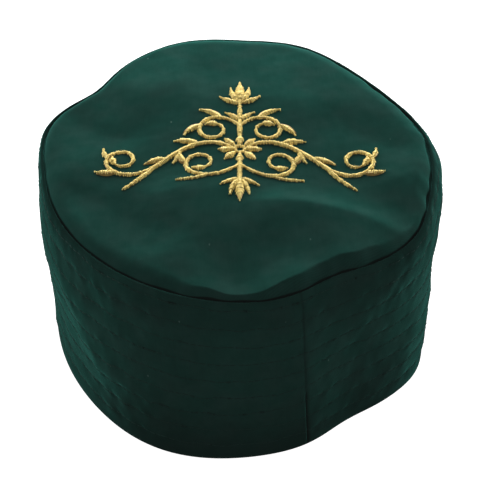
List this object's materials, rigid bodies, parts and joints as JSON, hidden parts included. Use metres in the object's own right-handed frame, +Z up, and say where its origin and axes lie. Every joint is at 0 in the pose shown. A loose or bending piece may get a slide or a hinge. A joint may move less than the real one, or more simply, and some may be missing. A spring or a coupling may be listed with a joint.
{
  "type": "kufi",
  "caption": "Round green cloth cap with a tall quilted band, a flat stiffened crown with gold satin stitching, and an open underside for the head.",
  "frame": {"origin": "under the middle of the cap's box, on the surface that the rim rests on", "axes": "+Z up through the crown, -Y towards the front of the cap, +X to its left as worn"},
  "size_m": [0.1952, 0.194, 0.1097],
  "materials": {
    "quilted_cloth": "dark green twill, quilted in rows, with a soft sheen",
    "crown_cloth": "dark green twill with a soft sheen",
    "gold_thread": "gold satin-stitched embroidery thread"
  },
  "bodies": {
    "root": {"band": "quilted_cloth", "crown": "crown_cloth", "embroidery": "gold_thread"}
  },
  "joints": []
}
